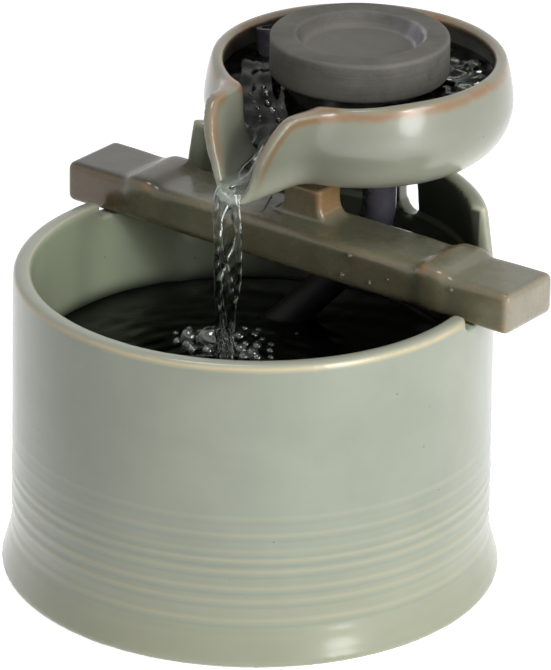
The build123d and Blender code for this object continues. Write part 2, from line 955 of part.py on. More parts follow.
pieces = {
    "basin": basin,
    "crossbar": crossbar,
    "bowl": bowl,
    "stone_cover": stone_cover,
    "inlet_elbow": inlet_elbow,
    "inlet_seal": inlet_seal,
    "inlet_nut": inlet_nut,
    "supply_hose": supply_hose,
    "outlet_hose": outlet_hose,
    "impeller_housing": impeller_housing,
    "motor_housing": motor_housing,
    "housing_seal": housing_seal,
    "end_cap": end_cap,
    "stator_core": stator_core,
    "coil_bobbin": coil_bobbin,
    "coil_winding": coil_winding,
    "rotor_magnet": rotor_magnet,
    "impeller": impeller,
    "rotor_shaft": rotor_shaft,
    "front_bush": front_bush,
    "rear_bush": rear_bush,
    "intake_cover": intake_cover,
    "filter_sponge": filter_sponge,
    "flow_dial": flow_dial,
    "suction_cups": suction_cups,
    "cable_gland": cable_gland,
}

for name, make in pieces.items():
    export_step(make(), f"parts/{name}.step")
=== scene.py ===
"""How the tabletop fountain looks: glazed and stone copies of its four loose pieces, the water that runs
over them, and a white studio. The frame is the part's: the origin is the centre of the basin's foot on the
table, +Z is up, the spout pours towards -Y, and the crossbar lies along X."""

import json
import math

import bmesh
import bpy
import numpy as np
from mathutils import Matrix, Vector
from mathutils.bvhtree import BVHTree


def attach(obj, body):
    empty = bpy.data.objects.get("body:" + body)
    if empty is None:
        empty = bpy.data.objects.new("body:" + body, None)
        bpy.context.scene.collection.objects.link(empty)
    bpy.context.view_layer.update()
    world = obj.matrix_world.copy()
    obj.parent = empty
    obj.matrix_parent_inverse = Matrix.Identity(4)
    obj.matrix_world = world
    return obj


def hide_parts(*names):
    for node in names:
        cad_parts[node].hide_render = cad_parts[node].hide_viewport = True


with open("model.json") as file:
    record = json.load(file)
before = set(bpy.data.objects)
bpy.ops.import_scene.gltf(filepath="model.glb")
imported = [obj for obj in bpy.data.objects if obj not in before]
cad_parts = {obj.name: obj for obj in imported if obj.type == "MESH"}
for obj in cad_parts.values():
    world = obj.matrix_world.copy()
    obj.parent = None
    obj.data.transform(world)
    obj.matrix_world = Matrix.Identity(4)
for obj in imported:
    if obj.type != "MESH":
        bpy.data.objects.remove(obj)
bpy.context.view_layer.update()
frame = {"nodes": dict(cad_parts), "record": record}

MM = 0.001

# The photograph's frame and the camera that it was taken with, in the part's frame
PICTURE_HEIGHT = 670
FOCAL_PIXELS = 5702.0
SENSOR = 36.0
CLIP = (0.1, 20.0)
CAMERA_AZIMUTH = 36.68
CAMERA_ELEVATION = 23.92
CAMERA_ROLL = 0.957
CAMERA_DISTANCE = 2200.8 * MM
AIM_RIGHT = 8.63 * MM
AIM_HEIGHT = 95.11 * MM

# Sizes of the ceramic pieces that the finish follows
RIM_RADIUS = 92.5 * MM
RIM_INNER = 85.3 * MM
RIM_HEIGHT = 123.4 * MM
WAIST_RADIUS = 93.1 * MM
FLARE_HEIGHT = 19.0 * MM
FOOT_RADIUS = 97.6 * MM
FOOT_EDGE = 1.5 * MM
RING_DEPTH = 0.42 * MM
RING_WIDTH = 1.6 * MM
# The rings lie below this height, in mm. A ramp has room for the lines of this many of them.
RING_REACH = 75.0
RINGS_DRAWN = 8
# Lines where the glaze breaks on the basin's level rim: radius and half width, then the heights over
# which they fade in from below and from above, in mm
RIM_LINES = [(86.6, 0.5), (92.45, 0.62)]
RIM_LINES_LOW = (120.0, 121.6)
RIM_LINES_HIGH = (125.0, 124.0)
# The left end of the raised wall, and how far it is turned towards the front there
WALL_END = (-74.0, 55.5)
WALL_TURN = 0.065
WALL_RISE = 3.4 * MM
BAR_TOP = 134.4 * MM
BAR_FRONT = 17.1 * MM
# Height and strength of each throwing ring, from the foot up
RINGS = [
    (12.6, 0.25), (18.2, 0.85), (22.6, 0.2), (26.2, 0.85), (31.6, 0.9), (35.2, 0.2), (38.5, 0.9), (43.2, 1.0),
    (46.9, 0.55), (50.3, 0.25), (53.6, 0.6), (57.0, 0.3), (60.6, 0.45), (64.0, 0.2), (68.0, 0.15),
]

# The water's levels in the basin and in the bowl, the bowl's middle, and where the stream lands
BASIN_WATER = 82.8 * MM
BOWL_WATER = 181.5 * MM
BOWL_FALL = 17.6 * MM
BOWL_MIDDLE = 66.0 * MM
SKIRT_RADIUS = 28.9 * MM
SPOUT_END = -1.0 * MM
LANDING = (2.0 * MM, -20.0 * MM)
WATER_SKIN = 1.2 * MM

# The stream from inside the spout to the basin's water, in mm: Y, Z, half width, half depth,
# and how far it has drawn out into a sheet with ropes along its edges
STREAM = [
    (9.0, 163.4, 8.6, 1.6, 0.0),
    (3.0, 163.0, 7.6, 1.7, 0.0),
    (-4.0, 162.4, 6.0, 1.9, 0.0),
    (-11.0, 162.0, 5.6, 2.2, 0.0),
    (-15.8, 161.6, 5.7, 2.4, 0.1),
    (-18.6, 159.2, 5.9, 2.0, 0.3),
    (-19.6, 154.0, 6.3, 1.6, 0.7),
    (-19.8, 147.0, 7.0, 1.3, 1.0),
    (-19.8, 140.0, 7.2, 1.3, 1.0),
    (-19.8, 126.0, 6.3, 1.5, 1.0),
    (-19.9, 112.0, 4.9, 1.8, 1.0),
    (-20.0, 98.0, 3.9, 2.0, 0.8),
    (-20.0, 81.5, 3.4, 2.2, 0.6),
]

# Bubbles on the basin's water, in mm: X, Y and radius
BUBBLES = [
    (-25.5, 7.5, 6.6), (-35.0, 5.0, 3.6), (-27.5, 21.0, 2.6), (-16.5, 3.0, 3.2), (-11.0, 7.5, 2.8),
    (-19.5, 17.5, 2.4), (-8.5, 14.5, 2.2), (-6.0, 8.0, 2.6), (-13.5, 13.5, 1.6), (-30.5, 15.0, 1.9),
    (-21.0, -1.0, 2.4), (-30.0, -2.0, 2.6), (-38.5, 10.0, 1.8), (-5.0, 18.5, 1.4), (-16.0, 22.5, 1.5),
    (-12.0, -2.5, 2.8), (-1.5, 13.5, 1.6), (-17.5, 27.0, 1.2), (-6.0, 2.5, 2.4), (-15.5, 9.0, 1.9),
    (-1.5, 5.5, 2.0), (-23.0, 25.0, 1.3), (-23.5, 15.5, 1.5), (-34.0, 11.0, 1.4), (-20.5, 10.5, 1.4),
    (-11.0, 20.5, 1.1), (2.0, 9.0, 1.3), (-35.5, -2.0, 1.7), (-41.0, 4.0, 1.3), (-26.0, -4.5, 1.7),
    (-4.0, 33.9, 0.8),
]

# Bubbles on the bowl's water, in mm
FOAM = [
    (-24.0, 38.5, 1.6), (-20.5, 34.5, 1.3), (-27.5, 41.0, 1.1), (-16.0, 31.5, 1.5), (-22.5, 30.5, 1.0),
    (-12.5, 33.5, 1.0), (-30.0, 36.0, 0.9), (-18.5, 27.0, 0.9), (-10.0, 28.0, 1.2), (-26.0, 33.0, 0.8),
]

# Threads of water, in mm: the edge of a film inside the spout's right lip, and a run on the crossbar's top
FILM_EDGE = [
    (12.3, -12.0, 181.0), (9.3, -14.0, 172.4), (6.4, -14.0, 167.2), (1.9, -13.2, 164.3), (1.2, -12.4, 166.4),
    (2.3, -11.4, 169.0), (4.6, -10.8, 171.6), (7.3, -10.6, 174.4), (10.4, -11.2, 178.2), (12.3, -12.0, 181.0),
]
RUN = [
    (-21.9, 40.0, 134.6), (-20.3, 36.5, 134.6), (-18.9, 33.4, 134.6), (-16.6, 28.6, 134.6),
    (-14.8, 24.9, 134.6),
]

# Drops on the crossbar's front, in mm: X, Z and radius
DROPS = [(33.0, 131.6, 0.85), (29.4, 122.6, 1.0), (42.6, 122.9, 0.8), (80.6, 130.4, 0.9), (51.0, 126.5, 0.5)]

# How finely the water's pieces are drawn
DOME_SIDES = 28
DOME_STEPS = 12
THREAD_SIDES = 12
THREAD_STEPS = 60

# Studio: the floor's half size in metres and its own light, for every ray and more where it is seen
FLOOR_SIZE = 3.0
FLOOR_GLOW = 0.12
FLOOR_SEEN = 0.74
# The backdrop's light on the part, and its brightness in gloss, which changes between two heights
BACKDROP_LIGHT = 0.02
BACKDROP_HEIGHTS = (0.62, 0.95)
BACKDROP_IN_GLOSS = (0.85, 0.35)
# Lamps: name, degrees round from the camera, degrees up, distance and diameter in metres, and watts
LAMPS = [
    ("key", 44, 25, 1.3, 0.6, 4.5),
    ("glint", 38, 25, 1.25, 0.13, 1.3),
    ("low", 40, 7, 1.25, 0.42, 3.3),
    ("top", -60, 78, 1.2, 0.5, 4.0),
]
LAMP_TARGET = (0, 0.02, 0.1)


def spin(azimuth, elevation):
    """The unit vector from the object towards a place round it. Azimuth 0 is in front, on -Y."""
    a = math.radians(azimuth)
    e = math.radians(elevation)
    return Vector((math.sin(a) * math.cos(e), -math.cos(a) * math.cos(e), math.sin(e)))


def linear(red, green, blue, alpha=1.0):
    """A colour written as 0 to 255 values, as the shader takes it."""
    out = []
    for value in (red, green, blue):
        share = value / 255
        out.append(share / 12.92 if share <= 0.04045 else ((share + 0.055) / 1.055) ** 2.4)
    return (*out, alpha)


# Camera


def make_camera():
    data = bpy.data.cameras.new("camera")
    data.sensor_width = SENSOR
    data.lens = FOCAL_PIXELS * SENSOR / PICTURE_HEIGHT
    data.clip_start, data.clip_end = CLIP
    camera = bpy.data.objects.new("camera", data)
    bpy.context.scene.collection.objects.link(camera)
    a = math.radians(CAMERA_AZIMUTH)
    right = Vector((math.cos(a), math.sin(a), 0))
    aim = right * AIM_RIGHT + Vector((0, 0, AIM_HEIGHT))
    back = spin(CAMERA_AZIMUTH, CAMERA_ELEVATION)
    turn = (-back).to_track_quat("-Z", "Y").to_matrix().to_4x4()
    roll = Matrix.Rotation(math.radians(CAMERA_ROLL), 4, "Z")
    camera.matrix_world = Matrix.Translation(aim + back * CAMERA_DISTANCE) @ turn @ roll
    bpy.context.scene.camera = camera


make_camera()


# Mesh helpers


def link(name, mesh):
    piece = bpy.data.objects.new(name, mesh)
    bpy.context.scene.collection.objects.link(piece)
    return piece


def applied(piece):
    """The piece's mesh with its modifiers applied."""
    bpy.context.view_layer.update()
    depsgraph = bpy.context.evaluated_depsgraph_get()
    return bpy.data.meshes.new_from_object(piece.evaluated_get(depsgraph))


def smooth_shaded(mesh):
    mesh.polygons.foreach_set("use_smooth", np.ones(len(mesh.polygons), bool))


def fine_copy(name, node, voxel, passes):
    """A dense copy of a CAD node with softened edges, as glaze leaves them."""
    mesh = frame["nodes"][node].data.copy()
    shape = bmesh.new()
    shape.from_mesh(mesh)
    bmesh.ops.remove_doubles(shape, verts=shape.verts, dist=voxel / 100)
    shape.to_mesh(mesh)
    shape.free()
    piece = link(name, mesh)
    remesh = piece.modifiers.new("remesh", "REMESH")
    remesh.mode = "VOXEL"
    remesh.voxel_size = voxel
    smooth = piece.modifiers.new("smooth", "SMOOTH")
    smooth.factor = 0.5
    smooth.iterations = passes
    dense = applied(piece)
    piece.modifiers.clear()
    piece.data = dense
    dense.materials.clear()
    smooth_shaded(dense)
    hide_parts(node)
    return piece


def points_of(mesh):
    return np.array([v.co for v in mesh.vertices], float)


def normals_of(mesh):
    return np.array([v.normal for v in mesh.vertices], float)


def set_points(mesh, points):
    mesh.vertices.foreach_set("co", points.astype(np.float32).ravel())
    mesh.update()


def edges_of(mesh):
    return np.array([e.vertices[:] for e in mesh.edges], int)


def averaged(values, edges, passes):
    """Values on the points, each averaged with its neighbours' a number of times."""
    values = values.astype(float)
    count = np.zeros(len(values))
    np.add.at(count, edges[:, 0], 1)
    np.add.at(count, edges[:, 1], 1)
    for _ in range(passes):
        total = np.zeros_like(values)
        np.add.at(total, edges[:, 0], values[edges[:, 1]])
        np.add.at(total, edges[:, 1], values[edges[:, 0]])
        values = (values + total) / (count + 1)
    return values


def eased(points, edges, share, passes):
    """Points drawn towards the average of their neighbours, by a share of the way each time."""
    for _ in range(passes):
        middle = np.stack([averaged(points[:, axis], edges, 1) for axis in range(3)], 1)
        points = points + share[:, None] * (middle - points)
    return points


def bulge(mesh, edges):
    """How sharply the surface bulges at each point, in 1/mm. Hollows are negative."""
    points = points_of(mesh) / MM
    normals = normals_of(mesh)
    count = np.zeros(len(points))
    total = np.zeros_like(points)
    span = np.zeros(len(points))
    length = ((points[edges[:, 0]] - points[edges[:, 1]]) ** 2).sum(1)
    for near, far in ((0, 1), (1, 0)):
        np.add.at(count, edges[:, near], 1)
        np.add.at(total, edges[:, near], points[edges[:, far]])
        np.add.at(span, edges[:, near], length)
    offset = points - total / count[:, None]
    return 2 * (offset * normals).sum(1) / (span / count)


def spread(mask, edges, points, reach):
    """Distance in mm over the surface from the points where mask is true, up to reach."""
    length = np.linalg.norm(points[edges[:, 0]] - points[edges[:, 1]], axis=1) / MM
    distance = np.where(mask, 0.0, reach)
    for _ in range(int(reach / length.mean()) + 2):
        step = distance.copy()
        np.minimum.at(step, edges[:, 0], distance[edges[:, 1]] + length)
        np.minimum.at(step, edges[:, 1], distance[edges[:, 0]] + length)
        distance = np.minimum(distance, step)
    return distance


def paint(mesh, name, values):
    attribute = mesh.attributes.new(name, "FLOAT", "POINT")
    attribute.data.foreach_set("value", values.astype(np.float32))


def bell(x, width):
    return np.exp(-((x / width) ** 2))


def smooth_step(x, low, high):
    share = np.clip((x - low) / (high - low), 0, 1)
    return share * share * (3 - 2 * share)


def skinned(name, rings, wrap=False):
    """A closed piece over closed rings of points. Its ends are capped unless the rings wrap round."""
    rings = np.asarray(rings, float)
    count, size = rings.shape[:2]
    faces = []
    for ring in range(count if wrap else count - 1):
        after = (ring + 1) % count
        for step in range(size):
            turn = (step + 1) % size
            here, there = ring * size, after * size
            faces.append((here + step, here + turn, there + turn, there + step))
    if not wrap:
        faces.append(tuple(range(size - 1, -1, -1)))
        faces.append(tuple(range((count - 1) * size, count * size)))
    mesh = bpy.data.meshes.new(name)
    mesh.from_pydata(rings.reshape(-1, 3).tolist(), [], faces)
    shape = bmesh.new()
    shape.from_mesh(mesh)
    bmesh.ops.recalc_face_normals(shape, faces=shape.faces)
    shape.to_mesh(mesh)
    shape.free()
    smooth_shaded(mesh)
    mesh.update()
    return link(name, mesh)


def joined(name, pieces):
    """One piece made of several."""
    shape = bmesh.new()
    for piece in pieces:
        shape.from_mesh(piece.data)
        bpy.data.objects.remove(piece)
    mesh = bpy.data.meshes.new(name)
    shape.to_mesh(mesh)
    shape.free()
    smooth_shaded(mesh)
    return link(name, mesh)


# Materials


def new_material(name):
    """A material with its nodes cleared but for the shader, and a function that adds nodes."""
    material = bpy.data.materials.new(name)
    material.use_nodes = True
    tree = material.node_tree
    shader = tree.nodes["Principled BSDF"]

    def add(kind, inputs=None, **settings):
        node = tree.nodes.new(kind)
        for key, value in settings.items():
            setattr(node, key, value)
        for key, value in (inputs or {}).items():
            if isinstance(value, bpy.types.NodeSocket):
                tree.links.new(value, node.inputs[key])
            else:
                node.inputs[key].default_value = value
        return node

    def join(output, name):
        tree.links.new(output, shader.inputs[name])

    return material, shader, add, join


def mapped(add, scale=(1, 1, 1)):
    """Object coordinates, scaled."""
    place = add("ShaderNodeTexCoord").outputs["Object"]
    return add("ShaderNodeMapping", {"Vector": place, "Scale": scale}).outputs["Vector"]


def axis_of(add, vector, axis):
    return add("ShaderNodeSeparateXYZ", {"Vector": vector}).outputs[axis]


def ranged(add, value, low, high, top=1.0):
    """Nothing at the low value, rising to the top at the high one."""
    inputs = {"Value": value, "From Min": low, "From Max": high, "To Max": top}
    return add("ShaderNodeMapRange", inputs).outputs["Result"]


def noise_at(add, vector, scale, detail=2.0, roughness=0.5, distortion=0.0):
    inputs = {
        "Vector": vector,
        "Scale": scale,
        "Detail": detail,
        "Roughness": roughness,
        "Distortion": distortion,
    }
    return add("ShaderNodeTexNoise", inputs).outputs["Fac"]


def cells_at(add, vector, scale):
    """Distance from the middle of the nearest cell."""
    return add("ShaderNodeTexVoronoi", {"Vector": vector, "Scale": scale}, feature="F1").outputs["Distance"]


def ramp(add, value, stops):
    """Colours along 0 to 1. Each stop is a place and a colour."""
    node = add("ShaderNodeValToRGB", {"Fac": value})
    points = node.color_ramp.elements
    while len(points) < len(stops):
        points.new(0.5)
    for point, (place, colour) in zip(points, stops):
        point.position = place
        point.color = colour
    return node.outputs["Color"]


def grey(value):
    return (value, value, value, 1.0)


def greys(add, value, *stops):
    """Greys along 0 to 1. Each stop is a place and a brightness."""
    return ramp(add, value, [(place, grey(level)) for place, level in stops])


def tints(add, value, *stops):
    """Colours along 0 to 1. Each stop is a place and a colour written as 0 to 255 values."""
    return ramp(add, value, [(place, linear(*colour)) for place, colour in stops])


def darker(colour, share):
    return [channel * share for channel in colour]


def mix(add, share, first, second):
    node = add("ShaderNodeMix", data_type="RGBA")
    for key, value in (("Factor", share), ("A", first), ("B", second)):
        socket = next(s for s in node.inputs if s.name == key and (key == "Factor" or s.type == "RGBA"))
        if isinstance(value, bpy.types.NodeSocket):
            node.id_data.links.new(value, socket)
        else:
            socket.default_value = value
    return next(s for s in node.outputs if s.type == "RGBA")


def toned(add, colour, share, tint):
    """A colour drawn by a share towards a tint written as 0 to 255 values."""
    return mix(add, share, colour, linear(*tint))


def maths(add, operation, first, second):
    node = add("ShaderNodeMath", operation=operation)
    for index, value in enumerate((first, second)):
        if isinstance(value, bpy.types.NodeSocket):
            node.id_data.links.new(value, node.inputs[index])
        else:
            node.inputs[index].default_value = value
    return node.outputs[0]


def sum_of(add, first, second):
    return maths(add, "ADD", first, second)


def product(add, first, second):
    return maths(add, "MULTIPLY", first, second)


def band(add, value, centre, width):
    """One at the centre, falling smoothly to nothing a width away."""
    away = maths(add, "DIVIDE", maths(add, "SUBTRACT", value, centre), width)
    return maths(add, "POWER", math.e, product(add, product(add, away, away), -1.0))


def attribute(add, name):
    return add("ShaderNodeAttribute", attribute_name=name).outputs["Fac"]


def bumped(add, join, height, distance, strength=1.0):
    node = add("ShaderNodeBump", {"Height": height, "Distance": distance, "Strength": strength})
    join(node.outputs["Normal"], "Normal")


def set_inputs(shader, **values):
    """Fixed values of the shader, named with _ for a space."""
    for name, value in values.items():
        shader.inputs[name.replace("_", " ")].default_value = value


def ring_lines(add, offsets):
    """Where the glaze breaks on the strongest throwing rings, or pools beside them, by offsets in mm."""
    up = axis_of(add, mapped(add, (1, 1, 1 / MM / RING_REACH)), "Z")
    strongest = sorted(RINGS, key=lambda ring: -ring[1])[:RINGS_DRAWN]
    stops = []
    for height, strength in sorted(strongest):
        for offset, share in zip(offsets, (0.0, strength, strength, 0.0)):
            stops.append(((height + offset) / RING_REACH, share))
    return greys(add, up, *stops)


def rim_lines(add):
    """Where the glaze breaks on the two edges of the basin's level rim."""
    parts = add("ShaderNodeSeparateXYZ", {"Vector": mapped(add, (1 / MM, 1 / MM, 1 / MM))}).outputs
    flat = add("ShaderNodeCombineXYZ", {"X": parts["X"], "Y": parts["Y"]}).outputs["Vector"]
    radius = add("ShaderNodeVectorMath", {0: flat}, operation="LENGTH").outputs["Value"]
    radius = sum_of(add, radius, product(add, noise_at(add, mapped(add), 55.0, 2.0), 0.6))
    both = sum_of(add, *[band(add, radius, *line) for line in RIM_LINES])
    for heights in (RIM_LINES_LOW, RIM_LINES_HIGH):
        both = product(add, both, ranged(add, parts["Z"], *heights))
    return both


def glaze(name, body, shade, broken, inside, roughness, rust=None, lines=False):
    """A glaze that pools darker in hollows, breaks pale over edges and rings, and is mottled and pinholed.
    The darker lines beside the rings are glaze pooling and painted shade; the glaze also carries painted
    light and painted shade on inner walls, a painted reflection of a water film, and painted light low on
    outer walls.
    """
    material, shader, add, join = new_material(name)
    place = mapped(add)
    clouds = noise_at(add, place, 26.0, 4.0, 0.55, 0.3)
    colour = tints(add, clouds, (0.3, shade), (0.7, body))
    streaks = noise_at(add, mapped(add, (30, 30, 260)), 1.0, 2.0, 0.5)
    colour = toned(add, colour, product(add, streaks, 0.05), broken)
    patchy = noise_at(add, place, 95.0, 3.0, 0.6)
    wear = product(add, attribute(add, "wear"), greys(add, patchy, (0.25, 0.55), (0.75, 1.0)))
    colour = toned(add, colour, wear, broken)
    if lines:
        low = ranged(add, axis_of(add, place, "Z"), 0.05, 0.008, 0.4)
        colour = toned(add, colour, low, (188, 186, 146))
        # Darker bluish lines just under the strongest rings: glaze pooling there, and painted shade under
        # each ring's bulge.
        pooled_and_painted_shade = product(add, ring_lines(add, (-3.3, -2.4, -2.1, -1.1)), 0.36)
        colour = toned(add, colour, pooled_and_painted_shade, (142, 160, 149))
        long = noise_at(add, mapped(add, (16, 16, 60)), 1.0, 2.0)
        fading = greys(add, long, (0.3, 0.38), (0.65, 0.66))
        drawn = product(add, ring_lines(add, (-0.9, 0.1, 0.5, 1.5)), fading)
        colour = toned(add, colour, drawn, (206, 202, 168))
        colour = toned(add, colour, rim_lines(add), (236, 222, 180))
    # Inner walls in their own colour, per glaze: painted light on the basin, where it is lighter, and painted
    # shade in the bowl, where it is darker.
    colour = toned(add, colour, attribute(add, "inside"), inside)
    colour = toned(add, colour, attribute(add, "shade"), darker(inside, 0.4))
    # Painted shade, near black, on inner walls down at the water and under it.
    colour = toned(add, colour, attribute(add, "wet_and_painted_shade"), darker(inside, 0.16))
    # Painted reflection: a pale bluish water film that stands in for the light that the wet inner wall
    # reflects.
    film = product(add, attribute(add, "film"), greys(add, patchy, (0.35, 0.3), (0.6, 1.0)))
    colour = toned(add, colour, film, (206, 210, 214))
    # Paler glaze: thin at the basin's rim height, and painted light low on the basin's left and on the bowl's
    # lower outside.
    colour = toned(add, colour, attribute(add, "thin_glaze_and_painted_light"), (204, 206, 186))
    if rust:
        iron = product(add, attribute(add, "rust"), greys(add, patchy, (0.2, 0.6), (0.8, 1.0)))
        colour = toned(add, colour, iron, rust)
    rare = greys(add, noise_at(add, place, 60.0, 1.0), (0.62, 0), (0.66, 0.6))
    pinhole = product(add, greys(add, cells_at(add, place, 170.0), (0.05, 1), (0.09, 0)), rare)
    colour = toned(add, colour, pinhole, darker(shade, 0.55))
    join(colour, "Base Color")
    gloss = noise_at(add, place, 210.0, 2.0)
    join(greys(add, gloss, (0.3, roughness * 0.95), (0.7, roughness * 1.05)), "Roughness")
    swells = product(add, noise_at(add, place, 70.0, 2.0), 2.5)
    bumped(add, join, sum_of(add, noise_at(add, place, 420.0, 2.0), swells), 0.03 * MM, 0.6)
    set_inputs(shader, Coat_Weight=0.8, Coat_Roughness=0.15)
    return material


def bar_glaze():
    """The crossbar's glaze: brown on its sides, a grey-green bloom on top, iron where it runs thin, and
    painted shade on its left part away from the front.
    """
    material, shader, add, join = new_material("brown_glaze")
    place = mapped(add)
    clouds = noise_at(add, place, 30.0, 4.0, 0.6, 0.6)
    colour = tints(add, clouds, (0.3, (118, 112, 88)), (0.7, (144, 139, 111)))
    normal = add("ShaderNodeTexCoord").outputs["Normal"]
    top = ranged(add, axis_of(add, normal, "Z"), 0.2, 0.9, 0.75)
    bloom = noise_at(add, mapped(add, (14, 40, 40)), 1.0, 4.0, 0.65, 0.5)
    share = product(add, top, greys(add, bloom, (0.3, 0.35), (0.7, 1.0)))
    colour = toned(add, colour, share, (136, 139, 119))
    blue = noise_at(add, place, 48.0, 3.0, 0.6, 1.0)
    colour = toned(add, colour, greys(add, blue, (0.55, 0), (0.72, 0.4)), (112, 124, 116))
    iron = noise_at(add, mapped(add, (20, 60, 60)), 1.0, 4.0, 0.6, 1.2)
    colour = toned(add, colour, greys(add, iron, (0.56, 0), (0.75, 0.5)), (140, 98, 66))
    thin_glaze_and_painted_light = greys(add, noise_at(add, place, 110.0, 3.0, 0.6), (0.2, 0.55), (0.8, 1.0))
    for name, tint in (("wear", (160, 154, 132)), ("rust", (182, 140, 96)), ("pale", (184, 176, 156))):
        colour = toned(add, colour, product(add, attribute(add, name), thin_glaze_and_painted_light), tint)
    # A warmer tint on the left block's front, and painted shade on the left part away from the front.
    for name, tint in (("warm", (132, 100, 68)), ("painted_shade_on_left", (88, 84, 68))):
        colour = toned(add, colour, attribute(add, name), tint)
    join(colour, "Base Color")
    join(greys(add, noise_at(add, place, 160.0, 2.0), (0.3, 0.2), (0.7, 0.32)), "Roughness")
    swells = product(add, noise_at(add, place, 60.0, 2.0), 3.0)
    bumped(add, join, sum_of(add, noise_at(add, place, 380.0, 2.0), swells), 0.07 * MM, 0.8)
    set_inputs(shader, Coat_Weight=0.3, Coat_Roughness=0.1)
    return material


def stone():
    """Turned dark stone, darker where it is wet, with a glossy film of water in the dish that is also painted
    pale as a painted reflection.
    """
    material, shader, add, join = new_material("dark_stone")
    place = mapped(add)
    clouds = noise_at(add, place, 60.0, 5.0, 0.65, 0.4)
    colour = tints(add, clouds, (0.3, (98, 97, 90)), (0.72, (130, 128, 120)))
    grain = noise_at(add, place, 900.0, 3.0, 0.7)
    colour = toned(add, colour, greys(add, grain, (0.5, 0), (0.72, 0.5)), (138, 136, 128))
    turned = noise_at(add, mapped(add, (40, 40, 1400)), 1.0, 2.0, 0.6)
    colour = toned(add, colour, greys(add, turned, (0.45, 0), (0.75, 0.35)), (80, 79, 74))
    colour = toned(add, colour, attribute(add, "wear"), (148, 145, 136))
    wet_and_painted_shade = attribute(add, "wet_and_painted_shade")
    puddle_and_painted_sheen = attribute(add, "puddle_and_painted_sheen")
    colour = toned(add, colour, product(add, wet_and_painted_shade, 0.7), (34, 34, 31))
    # Painted reflection: the glossy patch in the dish is painted pale as well.
    colour = toned(add, colour, puddle_and_painted_sheen, (180, 180, 190))
    join(colour, "Base Color")
    dry_and_painted_light = greys(add, grain, (0.3, 0.55), (0.7, 0.8))
    join(mix(add, sum_of(add, wet_and_painted_shade, puddle_and_painted_sheen), dry_and_painted_light, grey(0.12)), "Roughness")
    swells = product(add, noise_at(add, place, 160.0, 3.0), 1.5)
    bumped(add, join, sum_of(add, grain, swells), 0.1 * MM, 0.6)
    return material


def moulded(name, colour, roughness):
    """Moulded plastic or rubber with a fine grain."""
    material, shader, add, join = new_material(name)
    place = mapped(add)
    grain = noise_at(add, place, 1500.0, 2.0)
    pale = [min(255, channel + 14) for channel in colour]
    join(tints(add, noise_at(add, place, 120.0, 3.0), (0.3, colour), (0.75, pale)), "Base Color")
    join(greys(add, grain, (0.3, roughness * 0.85), (0.7, roughness * 1.15)), "Roughness")
    bumped(add, join, grain, 0.02 * MM, 0.6)
    return material


def metal(name, colour, roughness, bands):
    """Metal with fine bands across one axis: laminations or wound wire."""
    material, shader, add, join = new_material(name)
    inputs = {"Vector": mapped(add), "Scale": bands, "Distortion": 0.3}
    lines = add("ShaderNodeTexWave", inputs, bands_direction="Z").outputs["Fac"]
    join(tints(add, lines, (0.2, darker(colour, 0.6)), (0.6, colour)), "Base Color")
    gloss = noise_at(add, mapped(add), 300.0)
    join(greys(add, gloss, (0.3, roughness * 0.8), (0.7, roughness * 1.2)), "Roughness")
    set_inputs(shader, Metallic=0.9)
    bumped(add, join, lines, 0.05 * MM, 0.7)
    return material


def hose_plastic():
    """Clear plastic, dull and dark down in the basin, where little light gets to it."""
    material, shader, add, join = new_material("clear_hose")
    place = mapped(add)
    film = noise_at(add, place, 130.0, 3.0, 0.6)
    colour = tints(add, film, (0.3, (100, 98, 112)), (0.7, (130, 127, 140)))
    shaded = ranged(add, axis_of(add, place, "Z"), 0.13, 0.115, 0.95)
    join(toned(add, colour, shaded, (15, 15, 17)), "Base Color")
    join(mix(add, shaded, greys(add, film, (0.3, 0.16), (0.7, 0.3)), grey(0.6)), "Roughness")
    set_inputs(shader, Transmission_Weight=0.45, IOR=1.45)
    bumped(add, join, noise_at(add, place, 500.0, 2.0), 0.03 * MM, 0.5)
    return material


def sponge():
    material, shader, add, join = new_material("sponge")
    cells = cells_at(add, mapped(add), 900.0)
    join(tints(add, cells, (0.2, (14, 14, 15)), (0.7, (60, 60, 62))), "Base Color")
    join(greys(add, cells, (0.2, 0.95), (0.7, 0.8)), "Roughness")
    bumped(add, join, cells, 0.6 * MM)
    return material


def water(name, tint, roughness, ripple=0.0, bend=1.333):
    """Water with its tint, its fine ripples in mm and how far it bends light."""
    material, shader, add, join = new_material(name)
    place = mapped(add)
    join(tints(add, noise_at(add, place, 60.0), (0.3, tint), (0.7, darker(tint, 0.94))), "Base Color")
    set_inputs(shader, Roughness=roughness, Transmission_Weight=1.0, IOR=bend)
    if ripple:
        bumped(add, join, noise_at(add, place, 160.0, 3.0, 0.6, 0.8), ripple * MM)
    return material


# The last colour given to each glaze is its inner walls' colour: lighter on the basin, as painted light, and
# darker in the bowl, as painted shade.
finishes = {
    "celadon_basin": glaze(
        "celadon_basin", (178, 186, 167), (165, 173, 154), (228, 219, 186), (196, 207, 176), 0.4, lines=True
    ),
    "celadon_bowl": glaze(
        "celadon_bowl", (168, 171, 153), (158, 162, 143), (206, 204, 182), (128, 126, 104), 0.34,
        rust=(172, 108, 30),
    ),
    "brown_glaze": bar_glaze(),
    "dark_stone": stone(),
    "clear_hose": hose_plastic(),
    "black_plastic": moulded("black_plastic", (26, 27, 29), 0.42),
    "pale_plastic": moulded("pale_plastic", (214, 213, 206), 0.35),
    "seal_rubber": moulded("seal_rubber", (22, 22, 22), 0.6),
    "core_steel": metal("core_steel", (150, 150, 154), 0.35, 620.0),
    "copper_wire": metal("copper_wire", (196, 110, 62), 0.3, 900.0),
    "magnet": moulded("magnet", (52, 52, 55), 0.5),
    "shaft_ceramic": moulded("shaft_ceramic", (232, 230, 222), 0.2),
    "sponge": sponge(),
    "water": water("water", (244, 249, 249), 0.01, 0.15),
}
